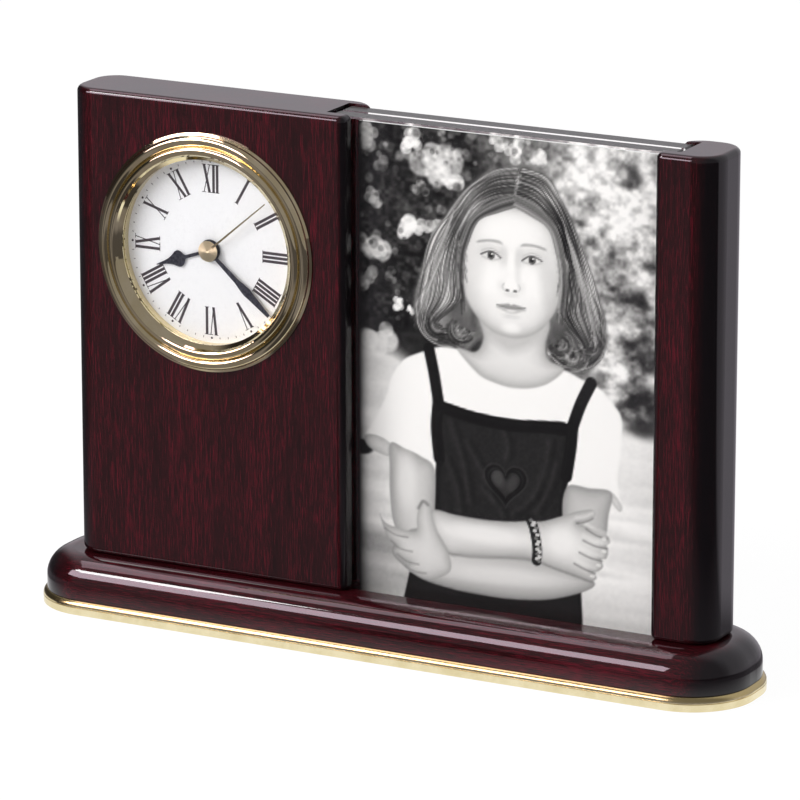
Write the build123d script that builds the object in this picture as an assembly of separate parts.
from build123d import *
import math
import os

# A mantel clock and picture frame: two lacquered uprights on a brass-edged plinth, with two glass
# plates and a print between them and a round quartz clock insert in the left upright.
# Millimetres. +X runs right along the front, +Y to the back, +Z up, origin under the plinth's middle.

# Widths along the front. The print sets the daylight between the uprights, and that the plinth.
PRINT_LENGTH = 100.0
PRINT_HEIGHT = 150.0
PRINT_SHORT_OF_CASE = 0.4
PRINT_IN_POST = 1.7
PICTURE_WIDTH = PRINT_LENGTH + PRINT_SHORT_OF_CASE - PRINT_IN_POST
CASE_WIDTH = 92.7
POST_WIDTH = 19.2
LEFT_OVERHANG = 13.2
RIGHT_OVERHANG = 10.2
BASE_LENGTH = LEFT_OVERHANG + CASE_WIDTH + PICTURE_WIDTH + POST_WIDTH + RIGHT_OVERHANG
CASE_LEFT = LEFT_OVERHANG - BASE_LENGTH / 2
CASE_RIGHT = CASE_LEFT + CASE_WIDTH
POST_LEFT = CASE_RIGHT + PICTURE_WIDTH
POST_RIGHT = POST_LEFT + POST_WIDTH

# Plinth and its foot moulding
BASE_DEPTH = 45.0
BASE_CORNER_R = 20.0
BASE_TOP = 16.4
BULLNOSE_R = 8.3
MOULDING_HEIGHT = 4.3
MOULDING_BAND = 2.1
MOULDING_GROOVE = 0.25
MOULDING_PROUD = 1.2
MOULDING_WALL = 3.4
FELT_THICK = 1.2
FELT_INSET = MOULDING_WALL + 0.6

# Heights of what stands in the grooves, and of the uprights
GROOVE_FLOOR = 7.0
PRINT_TOP = GROOVE_FLOOR + PRINT_HEIGHT
PLATE_TOP = PRINT_TOP + 1.8
UPRIGHT_TOP = PLATE_TOP + 0.7
UPRIGHT_DEPTH = 22.8
UPRIGHT_CORNER_R = 8.0
INNER_CORNER_R = 2.5
EDGE_R = 1.8
FRONT_Y = -UPRIGHT_DEPTH / 2

# Glass plates, print and their grooves
PLATE_THICK = 6.5
PLATE_IN_CASE = 7.1
PLATE_IN_POST = 4.2
PLATE_LEFT = CASE_RIGHT - PLATE_IN_CASE
PLATE_RIGHT = POST_LEFT + PLATE_IN_POST
PLATE_ARRIS = 0.5
PRINT_LEFT = CASE_RIGHT + PRINT_SHORT_OF_CASE
PRINT_THICK = 0.3
STACK_PLAY = 0.15
GROOVE_IN_CASE = PLATE_IN_CASE + 0.9
GROOVE_IN_POST = PLATE_IN_POST + 2.1
GROOVE_WIDTH = 2 * PLATE_THICK + PRINT_THICK + 4 * STACK_PLAY

# Joinery
FIXED_GAP = 0.05
SCREW_HEAD_R = 3.4
SCREW_R = 1.75
SCREW_LENGTH = 30.0
SCREW_SLOT_WIDTH = 0.9
SCREW_SLOT_DEPTH = 1.1
POST_JOINT_X = POST_RIGHT - 6.4
SCREW_SPOTS = [(CASE_LEFT + 15.8, 0.0), (CASE_RIGHT - 24.9, 0.0), (POST_JOINT_X, 0.0)]
DOWEL_R = 2.0
DOWEL_BOTTOM = 9.0
DOWEL_LENGTH = 15.0
DOWEL_SPOTS = [(CASE_LEFT + 31.8, 0.0), (CASE_RIGHT - 40.9, 0.0)]
DOWEL_SPOTS += [(POST_JOINT_X, -7.0), (POST_JOINT_X, 7.0)]
PIN_R = 0.5
PIN_LENGTH = 9.0
PIN_INSET = 2.6
PIN_XS = [BASE_LENGTH * share for share in (-0.36, -0.12, 0.12, 0.36)]

# Clock insert: radii from its axis, and h, the height out of the case's front face
CLOCK_X = CASE_LEFT + CASE_WIDTH / 2
CLOCK_Z = UPRIGHT_TOP - 45.3
BEZEL_R = 36.0
BEZEL_RECESS_R = 34.8
BEZEL_SPIGOT_R = 31.0
BEZEL_OPENING_R = 27.9
CUP_R = 32.8
CUP_BORE_R = 31.2
CUP_FLANGE_R = 34.6
CUP_FLANGE = 0.5
CUP_BACK = -18.8
CUP_FLOOR = 1.6
CASE_BORE_R = 33.5
CASE_BORE_BACK = -19.3
ACCESS_R = 27.0
BAND_R = 33.2
BAND_LEVELS = (-8.0, -4.5)
CRYSTAL_R = 28.6
CRYSTAL_LEVELS = (-1.6, -0.15)
REHAUT_R = 28.2
REHAUT_OUTER_R = 29.6
REHAUT_FRONT = -1.75
DIAL_R = 30.6
DIAL_HOLE_R = 2.4
DIAL_LEVELS = (-4.7, -4.2)
PLATE_R = 30.9
FRONT_PLATE_LEVELS = (-5.95, -4.75)
REAR_PLATE_LEVELS = (-15.9, -14.7)
PILLAR_R = 1.7
PILLAR_CIRCLE_R = 27.3
PILLAR_ANGLES = [45, 135, 225, 315]
PLATE_SCREW_R = 0.7
PLATE_SCREW_HEAD_R = 1.4
PLATE_SCREW_HEAD = 0.8
PLATE_SCREW_END = -9.0
PLATE_SCREW_SLOT = (4.0, 0.4, 0.6)

# Levels that run right through the insert, for holes cut clean through
THROUGH = (-40.0, 10.0)

# Gear train: h levels of each layer, tooth counts, and tooth modules. Tooth heights are in modules
# and tooth half widths in pitches.
RUNNING_GAP = 0.08
DEDENDUM = 1.15
ADDENDUM = 0.85
ROOT_SHARE = 0.24
TIP_SHARE = 0.11
WHEEL_HUB_R = 1.8
WHEEL_RIM = 1.2
WHEEL_HOLES = 5
CENTRE_HUB_R = 1.5
HOUR_LAYER = (-7.4, -6.3)
MINUTE_LAYER = (-8.6, -7.8)
CENTRE_LAYER = (-9.6, -9.0)
THIRD_LAYER = (-10.6, -10.0)
SECOND_LAYER = (-11.6, -11.0)
STEP_LAYER = (-12.5, -11.9)
PINION_OVERHANG = 0.15
ROTOR_PINION = 12
STEP_WHEEL = 60
STEP_PINION = 10
SECOND_WHEEL = 60
SECOND_PINION = 8
THIRD_WHEEL = 60
THIRD_PINION = 8
CENTRE_WHEEL = 64
CANNON_PINION = 12
MINUTE_WHEEL = 36
MINUTE_PINION = 10
HOUR_WHEEL = 40
KNOB_PINION = 18
STEP_MODULE = 0.2
SECOND_MODULE = 0.25
THIRD_MODULE = 0.25
MOTION_MODULE = 0.25
THIRD_DISTANCE = THIRD_MODULE * (SECOND_PINION + THIRD_WHEEL) / 2
CENTRE_MODULE = 2 * THIRD_DISTANCE / (THIRD_PINION + CENTRE_WHEEL)
STEP_DISTANCE = SECOND_MODULE * (STEP_PINION + SECOND_WHEEL) / 2
ROTOR_DISTANCE = STEP_MODULE * (ROTOR_PINION + STEP_WHEEL) / 2
MINUTE_DISTANCE = MOTION_MODULE * (CANNON_PINION + MINUTE_WHEEL) / 2
HOUR_MODULE = 2 * MINUTE_DISTANCE / (MINUTE_PINION + HOUR_WHEEL)
KNOB_DISTANCE = MOTION_MODULE * (MINUTE_WHEEL + KNOB_PINION) / 2
THIRD_ANGLE = 200
STEP_ANGLE = 60
ROTOR_ANGLE = 20
MINUTE_ANGLE = 290
ARBOR_R = 0.4
SECOND_ARBOR_R = 0.45
CANNON_R = 1.0
HOUR_TUBE_R = 1.6
MINUTE_POST_R = 0.6
ROTOR_MAGNET_R = 2.5
ROTOR_MAGNET_LEVELS = (-14.3, -12.8)

# Step motor, electronics and battery
STATOR_LEVELS = (-13.3, -12.75)
STATOR_HOLE_R = 3.1
STATOR_BOX = (6.6, -12.0, 22.0, 16.0)
STATOR_WINDOW = (15.2, -7.0, 25.0, 4.5)
COIL_X = 18.6
COIL_R = 1.75
COIL_LEVEL = -12.2
COIL_ENDS = (-6.4, 3.9)
CORE_WIDTH = 1.6
CORE_THICK = 1.0
CORE_ENDS = (-10.0, 8.0)
BOARD_BOX = (-27.0, -12.0, -12.5, 5.0)
BOARD_THICK = 0.8
CHIP_SPOT = (-19.0, -6.5)
CHIP_SIZE = (5.0, 4.0, 1.2)
CRYSTAL_CAN_R = 1.0
CRYSTAL_CAN_LENGTH = 6.0
CRYSTAL_CAN_SPOT = (-20.0, 1.5)
BATTERY_SPOT = (-11.5, 14.5)
BATTERY_R = 5.8
BATTERY_CAP_R = 4.5
BATTERY_STEP = 0.6
BATTERY_LEVELS = (-18.2, -12.8)
WELL_R = 6.2
COVER_R = 7.8
COVER_THICK = 0.5
CONTACT_THICK = 0.25
CONTACT_WIDTH = 2.4
CONTACT_CLEAR = 0.6
CONTACT_FOOT = 2.5
SIDE_CONTACT_HEIGHT = 1.0
COIN_SLOT = (9.0, 1.3, 0.5)

# Hands and setting knob
HAND_FIT = 0.01
SECOND_HAND_HALF = 0.34
HOUR_HAND_LEVELS = (-3.75, -3.5)
MINUTE_HAND_LEVELS = (-2.95, -2.7)
SECOND_HAND_LEVELS = (-2.15, -2.0)
HOUR_HAND_LENGTH = 19.2
MINUTE_HAND_LENGTH = 26.6
SECOND_HAND_LENGTH = 25.3
HOUR_HUB_R = 3.3
MINUTE_HUB_R = 2.6
CAP_R = 3.15
CAP_RIM = 0.15
CAP_SLOT_START = 1.9
CAP_LEVELS = (-2.3, -1.75)
HOUR_HAND_TURN = 251.1
MINUTE_HAND_TURN = 131.3
SECOND_HAND_TURN = 49.8
KNOB_R = 4.2
KNOB_LEVELS = (-20.9, -19.1)
KNOB_SHAFT_R = 0.8
KNOB_FLUTES = 20
KNOB_FLUTE_R = 0.35

FACE = Plane(origin=(CLOCK_X, FRONT_Y, CLOCK_Z), x_dir=(1, 0, 0), z_dir=(0, -1, 0))


def polar(distance, degrees, start=(0.0, 0.0)):
    angle = math.radians(degrees)
    return (start[0] + distance * math.cos(angle), start[1] + distance * math.sin(angle))


THIRD_SPOT = polar(THIRD_DISTANCE, THIRD_ANGLE)
STEP_SPOT = polar(STEP_DISTANCE, STEP_ANGLE)
ROTOR_SPOT = polar(ROTOR_DISTANCE, ROTOR_ANGLE, STEP_SPOT)
MINUTE_SPOT = polar(MINUTE_DISTANCE, MINUTE_ANGLE)
KNOB_SPOT = polar(KNOB_DISTANCE, MINUTE_ANGLE, MINUTE_SPOT)


def box(x, y, z):
    """A box between the two ends of each range."""
    spans = [high - low for low, high in (x, y, z)]
    centre = [(low + high) / 2 for low, high in (x, y, z)]
    return Pos(*centre) * Box(*spans)


def disc(radius, levels, spot=(0.0, 0.0)):
    """A cylinder along the local Z between two levels."""
    low, high = levels
    return Pos(spot[0], spot[1], (low + high) / 2) * Cylinder(radius, high - low)


def ring(outer, inner, levels, spot=(0.0, 0.0)):
    low, high = levels
    return disc(outer, levels, spot) - disc(inner, (low - 1, high + 1), spot)


def base_outline(inset, bottom, height):
    """A slab of the plinth's rounded outline, drawn in by inset."""
    outline = RectangleRounded(BASE_LENGTH - 2 * inset, BASE_DEPTH - 2 * inset, BASE_CORNER_R - inset)
    return Pos(0, 0, bottom) * extrude(outline, height)


def wood_screw(spot, gap=0.0):
    """A countersunk screw, head down, its head flush with the plinth's underside."""
    head = SCREW_HEAD_R + gap
    shank = SCREW_R + gap
    bottom = FELT_THICK + FIXED_GAP - gap
    tip = FELT_THICK + SCREW_LENGTH + gap
    taper = head - shank
    profile = Polyline(
        (0, 0, bottom), (head, 0, bottom), (shank, 0, bottom + taper),
        (shank, 0, tip - 2 * shank), (0, 0, tip), close=True,
    )
    return Pos(spot[0], spot[1], 0) * revolve(make_face(profile), Axis.Z)


def screwdriver_slot(spot):
    return box(
        (spot[0] - 2 * SCREW_HEAD_R, spot[0] + 2 * SCREW_HEAD_R),
        (spot[1] - SCREW_SLOT_WIDTH / 2, spot[1] + SCREW_SLOT_WIDTH / 2),
        (0, FELT_THICK + SCREW_SLOT_DEPTH),
    )


def dowel(spot, gap=0.0):
    levels = (DOWEL_BOTTOM - gap, DOWEL_BOTTOM + DOWEL_LENGTH + gap)
    return disc(DOWEL_R + gap, levels, spot)


def moulding_pin(spot, gap=0.0):
    return disc(PIN_R + gap, (FIXED_GAP - gap, PIN_LENGTH + gap), spot)


def pin_spots():
    side = BASE_DEPTH / 2 - PIN_INSET
    return [(x, y) for x in PIN_XS for y in (-side, side)]


def groove_cut(left, right, bottom):
    return box((left, right), (-GROOVE_WIDTH / 2, GROOVE_WIDTH / 2), (bottom, UPRIGHT_TOP + 1))


def base_plinth():
    body = base_outline(MOULDING_PROUD, FELT_THICK, BASE_TOP - FELT_THICK)
    rim = body.edges().group_by(Axis.Z)[-1]
    body = fillet(rim, BULLNOSE_R)
    rebate = base_outline(0, FELT_THICK, MOULDING_HEIGHT - FELT_THICK)
    rebate -= base_outline(MOULDING_WALL, FELT_THICK, MOULDING_HEIGHT - FELT_THICK)
    body -= rebate
    body -= groove_cut(CASE_RIGHT - GROOVE_IN_CASE, POST_LEFT + GROOVE_IN_POST, GROOVE_FLOOR)
    for spot in SCREW_SPOTS:
        body -= wood_screw(spot, FIXED_GAP)
    for spot in DOWEL_SPOTS:
        body -= dowel(spot, FIXED_GAP)
    for spot in pin_spots():
        body -= moulding_pin(spot, FIXED_GAP)
    return body


def base_moulding():
    """A brass ring round the foot: a flat band, a fine groove and a quarter-round bead."""
    body = base_outline(0, 0, MOULDING_HEIGHT)
    rim = body.edges().group_by(Axis.Z)[-1]
    body = fillet(rim, MOULDING_HEIGHT - MOULDING_BAND - MOULDING_GROOVE)
    groove = base_outline(0, MOULDING_BAND, MOULDING_GROOVE)
    body -= groove - base_outline(2 * MOULDING_GROOVE, MOULDING_BAND, MOULDING_GROOVE)
    body -= base_outline(MOULDING_WALL, 0, MOULDING_HEIGHT)
    for spot in pin_spots():
        body -= moulding_pin(spot, FIXED_GAP)
    return body


def base_felt():
    return base_outline(FELT_INSET, 0, FELT_THICK)


def upright(left, right, inner_front):
    """An upright with every corner well rounded, but its inner front corner nearly square."""
    width = right - left
    plan = Pos((left + right) / 2, 0) * Rectangle(width, UPRIGHT_DEPTH)
    sharp = plan.vertices().sort_by_distance((inner_front, FRONT_Y, 0))[0]
    plan = fillet([v for v in plan.vertices() if v != sharp], UPRIGHT_CORNER_R)
    sharp = plan.vertices().sort_by_distance((inner_front, FRONT_Y, 0))[0]
    plan = fillet(sharp, INNER_CORNER_R)
    body = Pos(0, 0, BASE_TOP) * extrude(plan, UPRIGHT_TOP - BASE_TOP)
    layers = body.edges().group_by(Axis.Z)
    return fillet(layers[0] + layers[-1], EDGE_R)


def joinery_holes():
    holes = [wood_screw(spot, FIXED_GAP) for spot in SCREW_SPOTS]
    holes += [dowel(spot, FIXED_GAP) for spot in DOWEL_SPOTS]
    return holes


def clock_case():
    body = upright(CASE_LEFT, CASE_RIGHT, CASE_RIGHT)
    body -= groove_cut(CASE_RIGHT - GROOVE_IN_CASE, CASE_RIGHT + 1, BASE_TOP - 1)
    body -= FACE * disc(CASE_BORE_R, (CASE_BORE_BACK, 1))
    body -= FACE * disc(ACCESS_R, (-UPRIGHT_DEPTH - 1, 1))
    for hole in joinery_holes():
        body -= hole
    return body


def side_post():
    body = upright(POST_LEFT, POST_RIGHT, POST_LEFT)
    body -= groove_cut(POST_LEFT - 1, POST_LEFT + GROOVE_IN_POST, BASE_TOP - 1)
    for hole in joinery_holes():
        body -= hole
    return body


def glass_plate(front):
    """A thick plate with its upright edges and its top edge eased."""
    body = box(
        (PLATE_LEFT, PLATE_RIGHT),
        (front, front + PLATE_THICK),
        (GROOVE_FLOOR, PLATE_TOP),
    )
    upright_edges = body.edges().filter_by(Axis.Z)
    top_edges = body.edges().group_by(Axis.Z)[-1]
    return chamfer(upright_edges + top_edges, PLATE_ARRIS)


def photo_print():
    return box(
        (PRINT_LEFT, PRINT_LEFT + PRINT_LENGTH),
        (-PRINT_THICK / 2, PRINT_THICK / 2),
        (GROOVE_FLOOR, PRINT_TOP),
    )


def bezel():
    """A turned ring: thin lip, broad bead, narrow bead, then a slope down to the crystal."""
    lip = (35.3, 0, 0.8)
    valley = (32.1, 0, 1.2)
    crest = (29.6, 0, 2.1)
    seat = CRYSTAL_LEVELS[1] + FIXED_GAP
    crystal_wall = CRYSTAL_R + 3 * FIXED_GAP
    step = REHAUT_FRONT + FIXED_GAP
    rehaut_wall = REHAUT_OUTER_R + 2 * FIXED_GAP
    recess = CUP_FLANGE + 2 * FIXED_GAP
    spigot_end = -2.6
    outer = Polyline((BEZEL_R, 0, 0), (BEZEL_R, 0, 0.45), lip)
    broad_bead = ThreePointArc(lip, (33.7, 0, 2.3), valley)
    narrow_bead = ThreePointArc(valley, (30.9, 0, 2.5), crest)
    inner = Polyline(
        crest, (29.1, 0, 1.4), (BEZEL_OPENING_R, 0, 0.4), (BEZEL_OPENING_R, 0, seat),
        (crystal_wall, 0, seat), (crystal_wall, 0, step), (rehaut_wall, 0, step),
        (rehaut_wall, 0, spigot_end), (BEZEL_SPIGOT_R, 0, spigot_end), (BEZEL_SPIGOT_R, 0, recess),
        (BEZEL_RECESS_R, 0, recess), (BEZEL_RECESS_R, 0, 0), (BEZEL_R, 0, 0),
    )
    section = make_face(outer.edges() + broad_bead.edges() + narrow_bead.edges() + inner.edges())
    return FACE * revolve(section, Axis.Z)


def crystal():
    return FACE * disc(CRYSTAL_R, CRYSTAL_LEVELS)


def crystal_ring():
    return FACE * ring(REHAUT_OUTER_R, REHAUT_R, (DIAL_LEVELS[1] + FIXED_GAP, REHAUT_FRONT))


def dial():
    return FACE * ring(DIAL_R, DIAL_HOLE_R, DIAL_LEVELS)


def insert_cup():
    """The insert's moulded cup, with its flange, knob hole and battery well."""
    floor = CUP_BACK + CUP_FLOOR
    body = disc(CUP_R, (CUP_BACK, 0)) + disc(CUP_FLANGE_R, (0, CUP_FLANGE))
    body -= disc(CUP_BORE_R, (floor, 1))
    body -= disc(KNOB_SHAFT_R + RUNNING_GAP, THROUGH, KNOB_SPOT)
    body -= disc(WELL_R, THROUGH, BATTERY_SPOT)
    recess_top = CUP_BACK + COVER_THICK + FIXED_GAP
    body -= disc(COVER_R + 4 * FIXED_GAP, (THROUGH[0], recess_top), BATTERY_SPOT)
    return FACE * body


def grip_band():
    return FACE * ring(BAND_R, CUP_R + FIXED_GAP, BAND_LEVELS)


def front_plate():
    """The movement's main plate with its pillars and the minute wheel's post."""
    back = REAR_PLATE_LEVELS[1]
    body = disc(PLATE_R, FRONT_PLATE_LEVELS)
    for angle in PILLAR_ANGLES:
        spot = polar(PILLAR_CIRCLE_R, angle)
        body += disc(PILLAR_R, (back, FRONT_PLATE_LEVELS[1]), spot)
        body -= disc(PLATE_SCREW_R + FIXED_GAP, (back, PLATE_SCREW_END + FIXED_GAP), spot)
    post_end = MINUTE_LAYER[0] - 2 * FIXED_GAP
    body += disc(MINUTE_POST_R, (post_end, FRONT_PLATE_LEVELS[0]), MINUTE_SPOT)
    body -= disc(HOUR_TUBE_R + RUNNING_GAP, THROUGH)
    for spot in (THIRD_SPOT, STEP_SPOT, ROTOR_SPOT):
        body -= disc(ARBOR_R + RUNNING_GAP, THROUGH, spot)
    return FACE * body


def rear_plate():
    body = disc(PLATE_R, REAR_PLATE_LEVELS)
    body -= disc(WELL_R, THROUGH, BATTERY_SPOT)
    body -= disc(KNOB_SHAFT_R + RUNNING_GAP, THROUGH, KNOB_SPOT)
    body -= disc(SECOND_ARBOR_R + RUNNING_GAP, THROUGH)
    for spot in (THIRD_SPOT, STEP_SPOT, ROTOR_SPOT):
        body -= disc(ARBOR_R + RUNNING_GAP, THROUGH, spot)
    for angle in PILLAR_ANGLES:
        body -= disc(PLATE_SCREW_R + FIXED_GAP, THROUGH, polar(PILLAR_CIRCLE_R, angle))
    return FACE * body


def plate_screws():
    low = REAR_PLATE_LEVELS[0]
    screws = []
    for angle in PILLAR_ANGLES:
        spot = polar(PILLAR_CIRCLE_R, angle)
        head = disc(PLATE_SCREW_HEAD_R, (low - PLATE_SCREW_HEAD, low), spot)
        slot = Pos(spot[0], spot[1], low - PLATE_SCREW_HEAD) * Box(*PLATE_SCREW_SLOT)
        screws.append(head + disc(PLATE_SCREW_R, (low, PLATE_SCREW_END), spot) - slot)
    return FACE * Compound(screws)


def toothed(teeth, module, levels, phase):
    """A thin-toothed gear about the local origin, one tooth centred at phase degrees."""
    pitch = 360 / teeth
    root = module * (teeth / 2 - DEDENDUM)
    tip = module * (teeth / 2 + ADDENDUM)
    corners = ((root, -ROOT_SHARE), (tip, -TIP_SHARE), (tip, TIP_SHARE), (root, ROOT_SHARE))
    points = []
    for tooth in range(teeth):
        points += [polar(radius, phase + pitch * (tooth + share)) for radius, share in corners]
    low, high = levels
    return Pos(0, 0, low) * extrude(make_face(Polyline(*points, close=True)), high - low)


def facing_gap(angle, teeth):
    """The phase that puts a gap of the second gear opposite a tooth at angle on the first."""
    return angle + 180 + 180 / teeth


def lightened_wheel(teeth, module, levels, phase):
    """A gear with a ring of round holes between its hub and its rim."""
    wheel = toothed(teeth, module, levels, phase)
    rim = module * (teeth / 2 - DEDENDUM) - WHEEL_RIM
    middle = (WHEEL_HUB_R + rim) / 2
    radius = (rim - WHEEL_HUB_R) / 2
    for hole in range(WHEEL_HOLES):
        wheel -= disc(radius, THROUGH, polar(middle, 360 * hole / WHEEL_HOLES))
    return wheel


def arbor():
    return disc(ARBOR_R, (REAR_PLATE_LEVELS[0], FRONT_PLATE_LEVELS[1] - 2 * FIXED_GAP))


def rotor():
    magnet = disc(ROTOR_MAGNET_R, ROTOR_MAGNET_LEVELS)
    pinion_levels = (ROTOR_MAGNET_LEVELS[1], STEP_LAYER[1] + PINION_OVERHANG)
    pinion = toothed(ROTOR_PINION, STEP_MODULE, pinion_levels, facing_gap(ROTOR_ANGLE, ROTOR_PINION))
    return FACE * Pos(*ROTOR_SPOT) * (arbor() + magnet + pinion)


def step_wheel():
    """The wheel and pinion between the rotor and the second wheel."""
    wheel = lightened_wheel(STEP_WHEEL, STEP_MODULE, STEP_LAYER, ROTOR_ANGLE)
    pinion_levels = (STEP_LAYER[1], SECOND_LAYER[1] + PINION_OVERHANG)
    phase = facing_gap(STEP_ANGLE, STEP_PINION)
    pinion = toothed(STEP_PINION, SECOND_MODULE, pinion_levels, phase)
    return FACE * Pos(*STEP_SPOT) * (arbor() + wheel + pinion)


def second_wheel():
    """The wheel that turns once a minute, on the arbor that carries the second hand."""
    shaft = disc(SECOND_ARBOR_R, (REAR_PLATE_LEVELS[0], SECOND_HAND_LEVELS[0]))
    wheel = lightened_wheel(SECOND_WHEEL, SECOND_MODULE, SECOND_LAYER, STEP_ANGLE)
    pinion_levels = (SECOND_LAYER[1], THIRD_LAYER[1] + PINION_OVERHANG)
    pinion = toothed(SECOND_PINION, THIRD_MODULE, pinion_levels, THIRD_ANGLE)
    return FACE * (shaft + wheel + pinion)


def third_wheel():
    phase = facing_gap(THIRD_ANGLE, THIRD_WHEEL)
    wheel = lightened_wheel(THIRD_WHEEL, THIRD_MODULE, THIRD_LAYER, phase)
    pinion_levels = (THIRD_LAYER[1], CENTRE_LAYER[1] + PINION_OVERHANG)
    phase = facing_gap(THIRD_ANGLE, THIRD_PINION)
    pinion = toothed(THIRD_PINION, CENTRE_MODULE, pinion_levels, phase)
    return FACE * Pos(*THIRD_SPOT) * (arbor() + wheel + pinion)


def centre_wheel():
    """The wheel that turns once an hour, loose on the second wheel's arbor."""
    hub_levels = (CENTRE_LAYER[0], CENTRE_LAYER[1] + PINION_OVERHANG)
    wheel = lightened_wheel(CENTRE_WHEEL, CENTRE_MODULE, CENTRE_LAYER, THIRD_ANGLE)
    bore = disc(SECOND_ARBOR_R + RUNNING_GAP, THROUGH)
    return FACE * (wheel + disc(CENTRE_HUB_R, hub_levels) - bore)


def cannon_pinion():
    """The tube that carries the minute hand, with its pinion."""
    tube = disc(CANNON_R, (MINUTE_LAYER[0], MINUTE_HAND_LEVELS[1] + 2 * FIXED_GAP))
    pinion = toothed(CANNON_PINION, MOTION_MODULE, MINUTE_LAYER, MINUTE_ANGLE)
    return FACE * (tube + pinion - disc(SECOND_ARBOR_R + RUNNING_GAP, THROUGH))


def minute_wheel():
    """The wheel and pinion that carry the minute hand's turn to the hour wheel."""
    phase = facing_gap(MINUTE_ANGLE, MINUTE_WHEEL)
    wheel = toothed(MINUTE_WHEEL, MOTION_MODULE, MINUTE_LAYER, phase)
    pinion_levels = (MINUTE_LAYER[1], HOUR_LAYER[1])
    phase = facing_gap(MINUTE_ANGLE, MINUTE_PINION)
    pinion = toothed(MINUTE_PINION, HOUR_MODULE, pinion_levels, phase)
    bore = disc(MINUTE_POST_R + RUNNING_GAP, THROUGH)
    return FACE * Pos(*MINUTE_SPOT) * (wheel + pinion - bore)


def hour_wheel():
    tube = disc(HOUR_TUBE_R, (HOUR_LAYER[0], HOUR_HAND_LEVELS[1] + 2 * FIXED_GAP))
    wheel = toothed(HOUR_WHEEL, HOUR_MODULE, HOUR_LAYER, MINUTE_ANGLE)
    return FACE * (tube + wheel - disc(CANNON_R + RUNNING_GAP, THROUGH))


def setting_knob():
    """The knob behind the insert, its shaft, and the pinion that turns the minute wheel."""
    pinion = toothed(KNOB_PINION, MOTION_MODULE, MINUTE_LAYER, MINUTE_ANGLE + 180)
    shaft = disc(KNOB_SHAFT_R, (KNOB_LEVELS[1], MINUTE_LAYER[1]))
    knob = disc(KNOB_R, KNOB_LEVELS)
    for flute in range(KNOB_FLUTES):
        knob -= disc(KNOB_FLUTE_R, THROUGH, polar(KNOB_R, 360 * flute / KNOB_FLUTES))
    return FACE * Pos(*KNOB_SPOT) * (pinion + shaft + knob)


def hand(edge, levels, turn):
    """A flat hand from the points of one edge, (distance, half width), turned clockwise from 12."""
    left = [(-width, distance) for distance, width in edge]
    right = [(width, distance) for distance, width in reversed(edge)]
    outline = make_face(Polyline(*left, *right, close=True))
    blade = Pos(0, 0, levels[0]) * extrude(outline, levels[1] - levels[0])
    return Rot(0, 0, -turn) * blade


def hour_hand():
    edge = [
        (0, 0.5), (8.8, 0.5), (9.3, 0.8), (9.7, 1.5), (10.3, 2.2), (11.1, 2.55), (12.0, 2.35),
        (13.2, 1.55), (14.5, 0.95), (16.0, 0.55), (HOUR_HAND_LENGTH, 0.12),
    ]
    hub = disc(HOUR_HUB_R, HOUR_HAND_LEVELS)
    bore = disc(HOUR_TUBE_R + HAND_FIT, THROUGH)
    return FACE * (hand(edge, HOUR_HAND_LEVELS, HOUR_HAND_TURN) + hub - bore)


def minute_hand():
    edge = [(0, 0.5), (12.5, 0.75), (15.2, 1.2), (17.0, 1.35), (18.6, 1.15), (MINUTE_HAND_LENGTH, 0.5)]
    hub = disc(MINUTE_HUB_R, MINUTE_HAND_LEVELS)
    bore = disc(CANNON_R + HAND_FIT, THROUGH)
    return FACE * (hand(edge, MINUTE_HAND_LEVELS, MINUTE_HAND_TURN) + hub - bore)


def second_hand():
    edge = [(0, SECOND_HAND_HALF), (SECOND_HAND_LENGTH, SECOND_HAND_HALF / 2)]
    return FACE * hand(edge, SECOND_HAND_LEVELS, SECOND_HAND_TURN)


def hub_cap():
    """A shallow turned cone over the arbor's end, slotted for the second hand."""
    low, high = CAP_LEVELS
    corners = ((0, 0, low), (CAP_R, 0, low), (CAP_R, 0, low + CAP_RIM), (0, 0, high))
    body = revolve(make_face(Polyline(*corners, close=True)), Axis.Z)
    low, high = SECOND_HAND_LEVELS
    half = SECOND_HAND_HALF + 2 * HAND_FIT
    closed = [(0, half), (SECOND_HAND_LENGTH, half)]
    body -= hand(closed, (low - HAND_FIT, high + HAND_FIT), SECOND_HAND_TURN)
    open_end = [(CAP_SLOT_START, half), (SECOND_HAND_LENGTH, half)]
    body -= hand(open_end, (low, 0), SECOND_HAND_TURN)
    body -= disc(SECOND_ARBOR_R + HAND_FIT, (THROUGH[0], low))
    return FACE * body


def stator():
    left, bottom, right, top = STATOR_BOX
    body = box((left, right), (bottom, top), STATOR_LEVELS)
    left, bottom, right, top = STATOR_WINDOW
    body -= box((left, right), (bottom, top), THROUGH)
    return FACE * (body - disc(STATOR_HOLE_R, THROUGH, ROTOR_SPOT))


def core_bar(gap=0.0):
    width = CORE_WIDTH / 2 + gap
    bottom = STATOR_LEVELS[1] + FIXED_GAP - gap
    return box(
        (COIL_X - width, COIL_X + width), CORE_ENDS, (bottom, bottom + CORE_THICK + 2 * gap)
    )


def coil_core():
    return FACE * core_bar()


def coil_winding():
    middle = (COIL_ENDS[0] + COIL_ENDS[1]) / 2
    length = COIL_ENDS[1] - COIL_ENDS[0]
    body = Pos(COIL_X, middle, COIL_LEVEL) * Rot(90, 0, 0) * Cylinder(COIL_R, length)
    return FACE * (body - core_bar(FIXED_GAP))


def board_levels():
    back = REAR_PLATE_LEVELS[1] + FIXED_GAP
    return (back, back + BOARD_THICK)


def circuit_board():
    left, bottom, right, top = BOARD_BOX
    return FACE * box((left, right), (bottom, top), board_levels())


def control_chip():
    width, height, thick = CHIP_SIZE
    x, y = CHIP_SPOT
    bottom = board_levels()[1]
    return FACE * box(
        (x - width / 2, x + width / 2), (y - height / 2, y + height / 2), (bottom, bottom + thick)
    )


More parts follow.
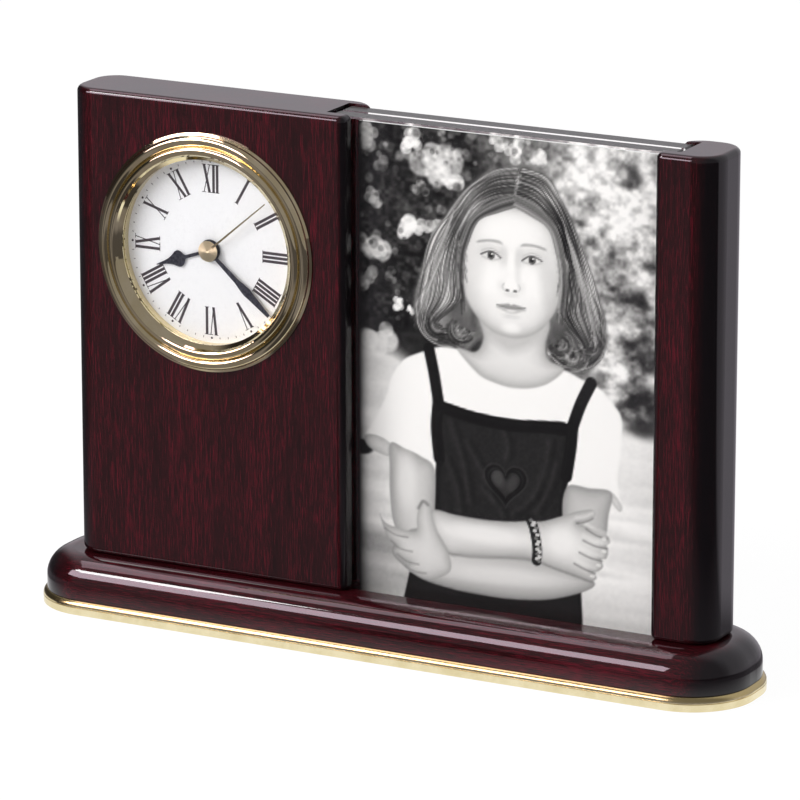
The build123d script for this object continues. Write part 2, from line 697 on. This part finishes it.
def quartz_can():
    x, y = CRYSTAL_CAN_SPOT
    level = board_levels()[1] + CRYSTAL_CAN_R
    return FACE * Pos(x, y, level) * Rot(0, 90, 0) * Cylinder(CRYSTAL_CAN_R, CRYSTAL_CAN_LENGTH)


def battery():
    low, high = BATTERY_LEVELS
    shoulder = high - BATTERY_STEP
    can = disc(BATTERY_R, (low, shoulder), BATTERY_SPOT)
    return FACE * (can + disc(BATTERY_CAP_R, (shoulder, high), BATTERY_SPOT))


def front_contact():
    """A bent strip from the rear plate, up and across the battery's inner face."""
    x, y = BATTERY_SPOT
    foot = REAR_PLATE_LEVELS[1] + FIXED_GAP
    level = BATTERY_LEVELS[1] + FIXED_GAP
    wall = x - WELL_R - CONTACT_CLEAR
    left = wall - CONTACT_FOOT
    across = (y - CONTACT_WIDTH / 2, y + CONTACT_WIDTH / 2)
    body = box((left, wall), across, (foot, foot + CONTACT_THICK))
    body += box((wall - CONTACT_THICK, wall), across, (foot, level + CONTACT_THICK))
    body += box((wall - CONTACT_THICK, x + BATTERY_CAP_R / 2), across, (level, level + CONTACT_THICK))
    return FACE * body


def side_contact():
    """A bent strip that stands beside the battery and reaches over to its rim."""
    x, y = BATTERY_SPOT
    foot = REAR_PLATE_LEVELS[1] + FIXED_GAP
    top = foot + SIDE_CONTACT_HEIGHT
    rim = y - BATTERY_R - FIXED_GAP
    side = y - WELL_R - CONTACT_CLEAR
    across = (x - CONTACT_WIDTH / 2, x + CONTACT_WIDTH / 2)
    body = box(across, (side - CONTACT_FOOT, side), (foot, foot + CONTACT_THICK))
    body += box(across, (side - CONTACT_THICK, side), (foot, top))
    body += box(across, (side - CONTACT_THICK, rim), (top - CONTACT_THICK, top))
    return FACE * body


def battery_cover():
    """The hatch over the battery, with a coin slot."""
    levels = (CUP_BACK, CUP_BACK + COVER_THICK)
    slot = Pos(BATTERY_SPOT[0], BATTERY_SPOT[1], CUP_BACK) * Box(*COIN_SLOT)
    return FACE * (disc(COVER_R, levels, BATTERY_SPOT) - slot)


def case_screws():
    return Compound([wood_screw(spot) - screwdriver_slot(spot) for spot in SCREW_SPOTS])


def locating_dowels():
    return Compound([dowel(spot) for spot in DOWEL_SPOTS])


def moulding_pins():
    return Compound([moulding_pin(spot) for spot in pin_spots()])


PARTS = {
    "base_plinth": base_plinth,
    "base_moulding": base_moulding,
    "base_felt": base_felt,
    "clock_case": clock_case,
    "side_post": side_post,
    "case_screws": case_screws,
    "locating_dowels": locating_dowels,
    "moulding_pins": moulding_pins,
    "photo_print": photo_print,
    "insert_cup": insert_cup,
    "grip_band": grip_band,
    "bezel": bezel,
    "crystal": crystal,
    "crystal_ring": crystal_ring,
    "dial": dial,
    "front_plate": front_plate,
    "rear_plate": rear_plate,
    "plate_screws": plate_screws,
    "stator": stator,
    "coil_core": coil_core,
    "coil_winding": coil_winding,
    "circuit_board": circuit_board,
    "control_chip": control_chip,
    "quartz_can": quartz_can,
    "front_contact": front_contact,
    "side_contact": side_contact,
    "battery": battery,
    "battery_cover": battery_cover,
    "rotor": rotor,
    "step_wheel": step_wheel,
    "second_wheel": second_wheel,
    "second_hand": second_hand,
    "hub_cap": hub_cap,
    "third_wheel": third_wheel,
    "centre_wheel": centre_wheel,
    "cannon_pinion": cannon_pinion,
    "minute_hand": minute_hand,
    "minute_wheel": minute_wheel,
    "hour_wheel": hour_wheel,
    "hour_hand": hour_hand,
    "setting_knob": setting_knob,
}


def main():
    os.makedirs("parts", exist_ok=True)
    for name, make in PARTS.items():
        export_step(make(), f"parts/{name}.step")
    print_gap = STACK_PLAY + PRINT_THICK / 2
    export_step(glass_plate(-print_gap - PLATE_THICK), "parts/front_glass.step")
    export_step(glass_plate(print_gap), "parts/rear_glass.step")


main()
